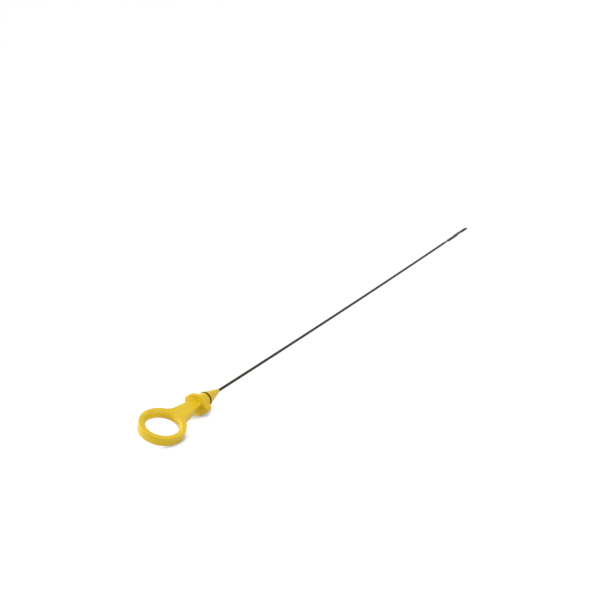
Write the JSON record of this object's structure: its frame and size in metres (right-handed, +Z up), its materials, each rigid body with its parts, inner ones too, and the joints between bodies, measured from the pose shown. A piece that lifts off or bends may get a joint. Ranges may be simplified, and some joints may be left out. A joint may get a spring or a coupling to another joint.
{
  "type": "engine oil dipstick",
  "caption": "Engine oil dipstick: finger-ring handle with a flaring neck, eared stop flange, sealed plug and conical nose, on a long wire with a flattened gauge tip.",
  "frame": {"origin": "on the ground under the middle of the dipstick's box, as it lies at rest", "axes": "+X along the wire from the handle to the gauge tip, +Z up from the ground that the dipstick lies on, +Y to the left when looking along +X"},
  "size_m": [0.6178, 0.0396, 0.0238],
  "materials": {
    "handle_plastic": "semi-gloss moulded, fine grain",
    "seal_rubber": "smooth, oily",
    "rod_steel": "drawn wire, dark and dull"
  },
  "bodies": {
    "root": {"handle": "handle_plastic", "seal_ring": "seal_rubber", "rod": "rod_steel"}
  },
  "joints": []
}
